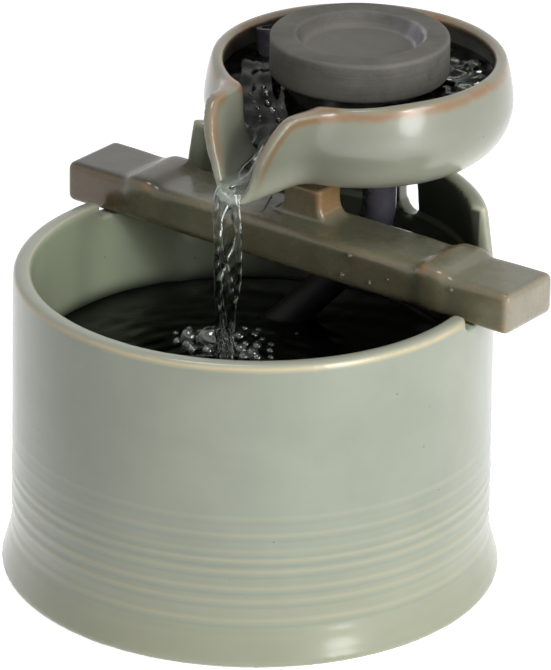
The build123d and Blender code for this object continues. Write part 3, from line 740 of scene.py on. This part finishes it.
# Painted shade: the water in the basin and the bowl is tinted darker than clear water.
pool = water("pool_water", (128, 138, 122), 0.015, 0.25)
bubble = water("bubble_film", (250, 252, 252), 0.01, bend=1.75)

for row in frame["record"]["subparts"]:
    node = frame["nodes"][row["node"]]
    node.data.materials.clear()
    node.data.materials.append(finishes[row["material_slot"]])


# Basin


def wall_radius(z):
    """The basin's outer radius at a height, with its rings. Between the rings the wall is a little hollow."""
    slope = (RIM_RADIUS - WAIST_RADIUS) / (RIM_HEIGHT - FLARE_HEIGHT)
    radius = WAIST_RADIUS + slope * (z - FLARE_HEIGHT)
    share = np.clip((FLARE_HEIGHT - z) / (FLARE_HEIGHT - FOOT_EDGE), 0, 1)
    radius = radius + (FOOT_RADIUS - WAIST_RADIUS) * share**1.35
    for height, strength in RINGS:
        radius = radius + RING_DEPTH * strength * bell(z - height * MM, RING_WIDTH)
    return radius - RING_DEPTH * 0.4 * bell(z - 35 * MM, 30 * MM)


def make_basin():
    piece = fine_copy("basin_glazed", "basin", 1.0 * MM, 4)
    mesh = piece.data
    points = points_of(mesh)
    radius = np.hypot(points[:, 0], points[:, 1])
    z = points[:, 2]
    outer = (radius > RIM_INNER + 4 * MM) & (z > 3 * MM)
    fade = np.clip((z - 3 * MM) / (3 * MM), 0, 1) * np.clip((RIM_HEIGHT - 4 * MM - z) / (4 * MM), 0, 1)
    angle = np.arctan2(points[:, 1], points[:, 0])
    uneven = 0.12 * MM * np.sin(2 * angle + 1)
    target = wall_radius(z) + uneven * fade
    end = math.atan2(WALL_END[1], WALL_END[0])
    near = bell(angle - end, 0.22) * smooth_step(z, RIM_HEIGHT - 3 * MM, RIM_HEIGHT + 1 * MM)
    turned = angle + WALL_TURN * near
    points[:, 0] = np.where(near > 0.001, radius * np.cos(turned), points[:, 0])
    points[:, 1] = np.where(near > 0.001, radius * np.sin(turned), points[:, 1])
    tall = bell(angle - end, 0.2) * np.clip((z - RIM_HEIGHT - 4 * MM) / (20 * MM), 0, 1)
    points[:, 2] += WALL_RISE * tall
    share = np.where(outer, fade, 0)
    scale = 1 + share * (target / radius - 1)
    points[:, 0] *= scale
    points[:, 1] *= scale
    set_points(mesh, points)
    edges = edges_of(mesh)
    curve = averaged(bulge(mesh, edges), edges, 2)
    raised = z > RIM_HEIGHT + 1.5 * MM
    foot = outer & (z < 6 * MM)
    paint(mesh, "wear", np.clip((curve - 0.08) / 0.3, 0, 0.8) * (raised | foot))
    within = (radius < RIM_INNER + 0.8 * MM) & (z < RIM_HEIGHT + 23 * MM)
    # Painted light: the inner wall takes a lighter colour than the outside.
    paint(mesh, "inside", averaged(within * 1.0, edges, 1))
    # Painted shade: the inner wall goes near black down to the water and below it.
    damp = smooth_step(-z, -94 * MM, -82 * MM) ** 2.5
    paint(mesh, "wet_and_painted_shade", within * damp)
    turned_away = smooth_step(points[:, 0] * 0.6 + points[:, 1] * 0.8, -10 * MM, 45 * MM)
    paint(mesh, "shade", within * turned_away)
    paint(mesh, "film", np.zeros(len(points)))
    # Paler glaze: painted light low on the left of the outside, and thin glaze round the rim's height.
    low_left = smooth_step(-z, -26 * MM, -6 * MM) * smooth_step(-points[:, 0], 30 * MM, 80 * MM)
    rim = np.abs(z - RIM_HEIGHT) < 1.2 * MM
    paint(mesh, "thin_glaze_and_painted_light", np.maximum(outer * low_left, 0.5 * rim))
    mesh.materials.append(finishes["celadon_basin"])
    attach(piece, "basin_body")


# Crossbar


def make_crossbar():
    piece = fine_copy("crossbar_glazed", "crossbar", 0.7 * MM, 6)
    mesh = piece.data
    edges = edges_of(mesh)
    points = points_of(mesh)
    along = np.abs(points[:, 0]) / MM
    points = eased(points, edges, 0.9 * bell(along - 70, 14), 42)
    set_points(mesh, points)
    curve = averaged(bulge(mesh, edges), edges, 3)
    wide = averaged(curve, edges, 8)
    height = (points[:, 2] - BAR_TOP) / MM
    normals = normals_of(mesh)
    side = smooth_step(averaged(normals[:, 0], edges, 4), 0.2, 0.8)
    post = smooth_step(height, -0.6, 5.0) * (along < 25) * (0.2 + 0.65 * side)
    collar = bell(along - 66, 3.0) * 0.45
    front = smooth_step(-normals[:, 1], 0.5, 0.9)
    paint(mesh, "wear", np.clip((curve - 0.16) / 0.4, 0, 0.4) * (1 - post))
    rust = np.clip((wide - 0.07) / 0.2, 0, 0.55) + post + collar * (height > -2)
    paint(mesh, "rust", np.clip(rust, 0, 0.9))
    paint(mesh, "pale", 0.85 * smooth_step(along, 104.0, 106.2))
    # Painted shade: the left part, but for its front, is darkened.
    paint(mesh, "painted_shade_on_left", 0.9 * (1 - front) * smooth_step(-points[:, 0] / MM, 38, 64))
    paint(mesh, "warm", 0.6 * front * smooth_step(-points[:, 0] / MM, 74, 82))
    mesh.materials.append(finishes["brown_glaze"])
    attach(piece, "crossbar_body")


# Bowl


def make_bowl():
    piece = fine_copy("bowl_glazed", "bowl", 0.8 * MM, 6)
    mesh = piece.data
    points = points_of(mesh)
    edges = edges_of(mesh)
    curve = averaged(bulge(mesh, edges), edges, 2)
    far = np.hypot(points[:, 0], points[:, 1] - BOWL_MIDDLE)
    crease = (curve < -0.05) & (points[:, 1] < 48 * MM) & (far > 45 * MM) & (points[:, 2] > 150 * MM)
    low = smooth_step(-points[:, 2], -188 * MM, -182 * MM)
    points = eased(points, edges, 0.95 * bell(spread(crease, edges, points, 16.0), 8.0) * low, 90)
    across, along = np.abs(points[:, 0]) / MM, points[:, 1] / MM
    corner = bell(np.hypot(across - 32, along - 24), 13) * (1 - low)
    inner = bell(np.hypot(across - 20, along - 20), 12) * smooth_step(points[:, 2], 155 * MM, 162 * MM)
    points = eased(points, edges, 0.9 * corner, 34)
    points = eased(points, edges, 0.9 * inner, 60)
    radial = np.maximum(np.hypot(points[:, 0], points[:, 1] - BOWL_MIDDLE), 1 * MM)
    fuller = 1.1 * MM * bell((points[:, 2] - 157 * MM) / MM, 8.0) * (radial > 33 * MM)
    fuller = fuller * smooth_step(points[:, 1], 30 * MM, 60 * MM)
    fuller = fuller * smooth_step(points[:, 2], 148.5 * MM, 152 * MM)
    points[:, 0] += fuller * points[:, 0] / radial
    points[:, 1] += fuller * (points[:, 1] - BOWL_MIDDLE) / radial
    set_points(mesh, points)
    curve = averaged(bulge(mesh, edges), edges, 2)
    high = points[:, 2] > 156 * MM
    lip = (curve > 0.16 - 0.07 * bell(np.hypot(across - 32, along - 24), 16)) & high
    distance = spread(lip, edges, points, 12.0)
    normals = normals_of(mesh)
    forward = smooth_step(points[:, 1], 0.0, 34 * MM)
    sideways, ahead = points[:, 0], (points[:, 1] - BOWL_MIDDLE) * forward
    outward = normals[:, 0] * sideways + normals[:, 1] * ahead
    outward = outward / np.maximum(np.hypot(sideways, ahead), 1 * MM)
    facing = smooth_step(averaged(outward, edges, 3), -0.2, 0.25)
    foot = bell((points[:, 2] - 148.5 * MM) / MM, 1.3) * (points[:, 2] < 152 * MM)
    tip = bell(np.hypot(points[:, 1] / MM + 15, (points[:, 2] / MM - 158) * 0.8), 12)
    paint(mesh, "wear", np.clip((curve - 0.25) / 0.5, 0, 0.15) * high * (1 - tip))
    outside = 1.9 * facing * bell(distance - 2.0, 1.15)
    within = 1.4 * (1 - facing) * bell(distance - 1.1, 1.0)
    rust = np.clip((outside + within) * (1 - tip) + 0.5 * foot, 0, 1)
    paint(mesh, "rust", averaged(rust, edges, 5))
    # Painted light: the lower outside of the bowl, above its foot, is painted paler.
    paint(mesh, "thin_glaze_and_painted_light", facing * smooth_step(-points[:, 2], -172 * MM, -156 * MM) * (radial > 30 * MM))
    # Painted shade: inside below the rim the bowl takes a darker colour, lifted as painted light in the spout
    # and at the right back above the water, where the inner wall is lit.
    hollow = (1 - facing) * smooth_step(distance, 1.0, 3.0) * (points[:, 2] > 150 * MM)
    spout = smooth_step(-points[:, 1], -26 * MM, -4 * MM)
    turn = np.arctan2(points[:, 1] - BOWL_MIDDLE, points[:, 0])
    dry_and_painted_light = bell(turn - 0.9, 0.9) * smooth_step(points[:, 2], 172 * MM, 181 * MM)
    paint(mesh, "inside", hollow * (1 - 0.8 * spout) * (1 - 0.95 * dry_and_painted_light))
    shadow = smooth_step(points[:, 0], -4 * MM, 4 * MM) * spout
    paint(mesh, "shade", 0.7 * hollow * shadow * smooth_step(points[:, 1], -12 * MM, -4 * MM))
    # Painted shade: the inner wall towards the back goes near black from the water's height down.
    sunk = smooth_step(-points[:, 2], -182 * MM, -174 * MM)
    paint(mesh, "wet_and_painted_shade", hollow * sunk * smooth_step(points[:, 1], 22 * MM, 50 * MM))
    # Painted reflection of a water film on the inner wall at the right back, just above the water.
    paint(mesh, "film", 0.8 * hollow * bell(turn - 0.9, 0.5) * smooth_step(points[:, 2], 174 * MM, 180 * MM))
    mesh.materials.append(finishes["celadon_bowl"])
    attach(piece, "bowl_body")


# Stone cover


def make_cover():
    piece = fine_copy("cover_stone", "stone_cover", 0.7 * MM, 3)
    mesh = piece.data
    edges = edges_of(mesh)
    curve = averaged(bulge(mesh, edges), edges, 2)
    points = points_of(mesh)
    dish = (np.hypot(points[:, 0], points[:, 1] - BOWL_MIDDLE) < 23 * MM) & (points[:, 2] > 190 * MM)
    # The dish is painted lighter too, in the same colour as the rubbed edges.
    paint(mesh, "wear", np.clip((curve - 0.12) / 0.5, 0, 0.3) + 0.5 * averaged(dish * 1.0, edges, 6))
    x, y = points[:, 0] / MM, (points[:, 1] - BOWL_MIDDLE) / MM
    below = smooth_step(-points[:, 2] / MM, -185.5, -183.0)
    normals = normals_of(mesh)
    away = np.maximum(np.hypot(x, y), 1)
    inward = -(normals[:, 0] * x + normals[:, 1] * y) / away
    slope = smooth_step(averaged(inward, edges, 2), 0.12, 0.4) * (away < 27) * (points[:, 2] > 193 * MM)
    turn = np.degrees(np.arctan2(y, x))
    # A glossy wet patch on the dish's right slope, its pale colour a painted reflection.
    puddle_and_painted_sheen = slope * bell(turn - 44, 30) * (0.75 + 0.25 * np.sin(turn * 0.3))
    paint(mesh, "wet_and_painted_shade", below)
    paint(mesh, "puddle_and_painted_sheen", np.clip(puddle_and_painted_sheen * 1.3, 0, 1))
    mesh.materials.append(finishes["dark_stone"])
    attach(piece, "cover_body")


# Water


def ripple(x, y):
    """The height of the basin's ripples, in mm, at places in mm."""
    away = np.hypot(x - LANDING[0] / MM, y - LANDING[1] / MM)
    rings = 0.75 * np.exp(-away / 24) * np.cos(away * 0.78)
    cross = 0.07 * np.sin(0.33 * x + 0.21 * y) + 0.06 * np.sin(0.17 * x - 0.41 * y + 1)
    return rings + (cross + 0.04 * np.sin(0.7 * x + 0.1 * y))


def make_basin_water():
    turns = np.linspace(0, 2 * math.pi, 240, endpoint=False)
    edge = RIM_INNER / MM - 0.25
    rings = []
    for radius in np.linspace(0.3, edge, 90):
        x, y = radius * np.cos(turns), radius * np.sin(turns)
        height = BASIN_WATER / MM + ripple(x, y) + 0.5 * bell(radius - edge, 1.0)
        rings.append(np.stack([x, y, height], 1))
    for radius in (edge, 0.3):
        low = np.full(len(turns), (BASIN_WATER - WATER_SKIN) / MM - 0.6)
        rings.append(np.stack([radius * np.cos(turns), radius * np.sin(turns), low], 1))
    piece = skinned("basin_water", np.array(rings) * MM)
    piece.data.materials.append(pool)
    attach(piece, "basin_body")


def bowl_level(y):
    """The height of the bowl's water at a place along the spout, in metres."""
    return BOWL_WATER - BOWL_FALL * smooth_step(-y / MM, -58, 4)


def make_bowl_water():
    """The water in the bowl and its spout, out to where it meets the glaze."""
    solid = frame["nodes"]["bowl"].data
    tree = BVHTree.FromPolygons([v.co for v in solid.vertices], [p.vertices[:] for p in solid.polygons])
    steps = np.linspace(-1, 1, 300, endpoint=False)
    turns = -math.pi / 2 + math.pi * np.sign(steps) * np.abs(steps) ** 1.7

    reach = []
    for turn in turns:
        way = Vector((math.cos(turn), math.sin(turn), 0))
        limit = (BOWL_MIDDLE - SPOUT_END) / max(1e-6, -way.y) if way.y < 0 else 1.0
        far = min(limit, 52 * MM)
        for _ in range(6):
            middle = Vector((0, BOWL_MIDDLE, bowl_level(BOWL_MIDDLE + far * way.y)))
            hit = tree.ray_cast(middle, way)[0]
            far = min((hit - middle).length - 0.1 * MM if hit else limit, limit)
        reach.append(far)
    reach = np.array(reach)
    rings = []
    for share in np.linspace(0, 1, 40):
        radius = SKIRT_RADIUS + share * (reach - SKIRT_RADIUS)
        x, y = radius * np.cos(turns) / MM, (BOWL_MIDDLE + radius * np.sin(turns)) / MM
        swell = 0.3 * np.sin(0.45 * x + 0.2 * y) + 0.25 * np.sin(0.25 * x - 0.5 * y + 2)
        swell = swell + 0.16 * np.sin(0.9 * x + 0.7 * y)
        crests = 1 - 2 * np.abs(np.sin(9 * turns + 4 * share)) + 0.6 * np.sin(27 * turns - 9 * share)
        fan = bell(turns - 0.85, 0.7) * crests
        swell = swell * smooth_step(y, 0, 40) + fan * (0.5 + 0.8 * share)
        calm = 1 - share**10
        rings.append(np.stack([x, y, bowl_level(y * MM) / MM + swell * calm], 1))
    for ring in (rings[-1], rings[0]):
        low = ring.copy()
        low[:, 2] -= WATER_SKIN / MM
        rings.append(low)
    piece = skinned("bowl_water", np.array(rings) * MM, wrap=True)
    piece.data.materials.append(pool)
    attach(piece, "bowl_body")


def make_stream():
    """The water that falls from the spout, drawn out into a sheet with ropes that cross and part."""
    table = np.array(STREAM)
    length = np.concatenate([[0], np.cumsum(np.hypot(*np.diff(table[:, :2], axis=0).T))])
    stations = np.linspace(0, length[-1], 150)
    rows = np.stack([np.interp(stations, length, table[:, column]) for column in range(5)], 1)
    for _ in range(12):
        rows[1:-1] = (rows[:-2] + 2 * rows[1:-1] + rows[2:]) / 4
    turns = np.linspace(0, 2 * math.pi, 96, endpoint=False)
    across = np.cos(turns)
    rings = []
    for index, (y, z, half, depth, drawn) in enumerate(rows):
        ahead, behind = rows[min(index + 1, len(rows) - 1)], rows[max(index - 1, 0)]
        way = np.array([ahead[0] - behind[0], ahead[1] - behind[1]])
        way = way / np.hypot(*way)
        along = stations[index]
        ropes = bell(np.abs(across) - 0.82, 0.16) * 0.9
        for sign, shift in ((1, 0.0), (-1, 0.9)):
            ropes = ropes + 0.55 * bell(across - 0.62 * sign * math.sin(along / 9.5 + shift), 0.15)
        beads = 1 + 0.28 * drawn * np.sin(along / 1.35 + 3 * across) * np.sin(along / 3.1 + 5 * across)
        thick = depth * ((1 - drawn) + drawn * (0.3 + 1.15 * ropes)) * np.sin(turns) * beads
        sway = 0.35 * math.sin(along / 7) * drawn
        width = half * (1 + 0.05 * math.sin(along / 4.3) * drawn)
        x = LANDING[0] / MM * drawn + sway + across * width
        rings.append(np.stack([x, y + way[1] * thick, z - way[0] * thick], 1))
    piece = skinned("falling_water", np.array(rings) * MM)
    piece.data.materials.append(finishes["water"])
    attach(piece, "bowl_body")


def dome(name, x, y, z, radius, skin):
    """A thin bubble, or a full drop when it has no skin, that stands on a level place."""
    turns = np.linspace(0, 2 * math.pi, DOME_SIDES, endpoint=False)
    rings = []
    outside = [(radius, math.radians(e)) for e in np.linspace(-12, 88, DOME_STEPS)]
    inside = [(radius - skin, math.radians(e)) for e in np.linspace(88, -12, DOME_STEPS)] if skin else []
    for size, rise in outside + inside:
        flat = size * math.cos(rise)
        height = np.full(DOME_SIDES, z + size * math.sin(rise))
        rings.append(np.stack([x + flat * np.cos(turns), y + flat * np.sin(turns), height], 1))
    return skinned(name, np.array(rings) * MM, wrap=bool(skin))


def make_bubbles():
    level = BASIN_WATER / MM
    pieces = []
    for index, (x, y, radius) in enumerate(BUBBLES):
        base = level + float(ripple(np.array([x]), np.array([y]))[0])
        pieces.append(dome(f"bubble_{index}", x, y, base - 0.1 * radius, radius, 0.3 if radius > 1.5 else 0))
    piece = joined("bubbles", pieces)
    piece.data.materials.append(bubble)
    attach(piece, "basin_body")


def make_foam():
    """Small bubbles on the bowl's water where it leaves the cover."""
    pieces = []
    for index, (x, y, radius) in enumerate(FOAM):
        base = bowl_level(y * MM) / MM - 0.2 * radius
        pieces.append(dome(f"foam_{index}", x, y, base, radius, 0.25 if radius > 1.4 else 0))
    piece = joined("foam", pieces)
    piece.data.materials.append(bubble)
    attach(piece, "bowl_body")


def thread(name, path, radius):
    """A round thread of water along a path in mm."""
    path = np.array(path, float)
    length = np.concatenate([[0], np.cumsum(np.linalg.norm(np.diff(path, axis=0), axis=1))])
    stations = np.linspace(0, length[-1], THREAD_STEPS)
    line = np.stack([np.interp(stations, length, path[:, axis]) for axis in range(3)], 1)
    for _ in range(4):
        line[1:-1] = (line[:-2] + 2 * line[1:-1] + line[2:]) / 4
    turns = np.linspace(0, 2 * math.pi, THREAD_SIDES, endpoint=False)
    rings = []
    for index, middle in enumerate(line):
        way = line[min(index + 1, THREAD_STEPS - 1)] - line[max(index - 1, 0)]
        way = way / np.linalg.norm(way)
        side = np.cross(way, (0.31, 0.21, 0.93))
        side = side / np.linalg.norm(side)
        over = np.cross(side, way)
        size = radius * (0.75 + 0.25 * math.sin(index * 0.55))
        rings.append(middle + size * (np.cos(turns)[:, None] * side + np.sin(turns)[:, None] * over))
    return skinned(name, np.array(rings) * MM)


def make_threads():
    film = thread("film_edge", FILM_EDGE, 0.32)
    run = thread("run_on_crossbar", RUN, 0.38)
    for piece, body in ((film, "bowl_body"), (run, "crossbar_body")):
        piece.data.materials.append(bubble)
        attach(piece, body)


def make_drops():
    """Drops that cling to the crossbar's front."""
    pieces = []
    for index, (x, z, radius) in enumerate(DROPS):
        drop = dome(f"drop_{index}", 0, 0, 0, radius, 0)
        turn = Matrix.Rotation(math.radians(90), 4, "X")
        drop.data.transform(Matrix.Translation((x * MM, BAR_FRONT, z * MM)) @ turn)
        pieces.append(drop)
    piece = joined("drops_on_crossbar", pieces)
    piece.data.materials.append(bubble)
    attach(piece, "crossbar_body")


make_basin()
make_crossbar()
make_bowl()
make_cover()
make_basin_water()
make_bowl_water()
make_stream()
make_bubbles()
make_foam()
make_threads()
make_drops()


# Studio


def seen_by(tree, names):
    """One for rays of the named kinds."""
    path = tree.nodes.new("ShaderNodeLightPath")
    seen = path.outputs[names[0]]
    for name in names[1:]:
        both = tree.nodes.new("ShaderNodeMath")
        both.operation = "MAXIMUM"
        tree.links.new(seen, both.inputs[0])
        tree.links.new(path.outputs[name], both.inputs[1])
        seen = both.outputs[0]
    return seen


def make_floor():
    """A pale floor that shows white to the camera, with the object's shadow on it."""
    mesh = bpy.data.meshes.new("floor")
    signs = ((-1, -1), (1, -1), (1, 1), (-1, 1))
    corners = [(across * FLOOR_SIZE, along * FLOOR_SIZE, 0) for across, along in signs]
    mesh.from_pydata(corners, [], [(0, 1, 2, 3)])
    floor = link("floor", mesh)
    material, shader, add, join = new_material("floor")
    set_inputs(shader, Base_Color=grey(0.88), Roughness=0.9, Emission_Color=grey(1))
    seen = seen_by(material.node_tree, ("Is Camera Ray", "Is Glossy Ray", "Is Transmission Ray"))
    join(sum_of(add, product(add, seen, FLOOR_SEEN), FLOOR_GLOW), "Emission Strength")
    mesh.materials.append(material)


def make_world():
    """Faint light from all round. The backdrop is white, and duller overhead where gloss shows it."""
    world = bpy.data.worlds.new("studio")
    bpy.context.scene.world = world
    world.use_nodes = True
    tree = world.node_tree
    tree.nodes.clear()

    def background(strength):
        node = tree.nodes.new("ShaderNodeBackground")
        if isinstance(strength, bpy.types.NodeSocket):
            tree.links.new(strength, node.inputs["Strength"])
        else:
            node.inputs["Strength"].default_value = strength
        node.inputs["Color"].default_value = (1, 1, 1, 1)
        return node.outputs[0]

    def choice(share, first, second):
        node = tree.nodes.new("ShaderNodeMixShader")
        tree.links.new(share, node.inputs["Fac"])
        tree.links.new(first, node.inputs[1])
        tree.links.new(second, node.inputs[2])
        return node.outputs[0]

    way = tree.nodes.new("ShaderNodeTexCoord").outputs["Generated"]
    parts = tree.nodes.new("ShaderNodeSeparateXYZ")
    tree.links.new(way, parts.inputs["Vector"])
    height = tree.nodes.new("ShaderNodeMapRange")
    tree.links.new(parts.outputs["Z"], height.inputs["Value"])
    names = ("From Min", "From Max", "To Min", "To Max")
    for name, value in zip(names, BACKDROP_HEIGHTS + BACKDROP_IN_GLOSS):
        height.inputs[name].default_value = value
    glossy = seen_by(tree, ("Is Glossy Ray", "Is Transmission Ray"))
    unseen = choice(glossy, background(BACKDROP_LIGHT), background(height.outputs["Result"]))
    whole = choice(seen_by(tree, ("Is Camera Ray",)), unseen, background(1.0))
    out = tree.nodes.new("ShaderNodeOutputWorld")
    tree.links.new(whole, out.inputs["Surface"])


def make_lamp(name, azimuth, elevation, distance, size, power):
    data = bpy.data.lights.new(name, "AREA")
    data.shape = "DISK"
    data.size = size
    data.energy = power
    lamp = bpy.data.objects.new(name, data)
    bpy.context.scene.collection.objects.link(lamp)
    towards = spin(azimuth, elevation)
    turn = (-towards).to_track_quat("-Z", "Y").to_matrix().to_4x4()
    lamp.matrix_world = Matrix.Translation(Vector(LAMP_TARGET) + towards * distance) @ turn


make_floor()
make_world()
for name, across, up, distance, size, power in LAMPS:
    make_lamp(name, CAMERA_AZIMUTH + across, up, distance, size, power)
bpy.context.scene.view_settings.view_transform = "Standard"
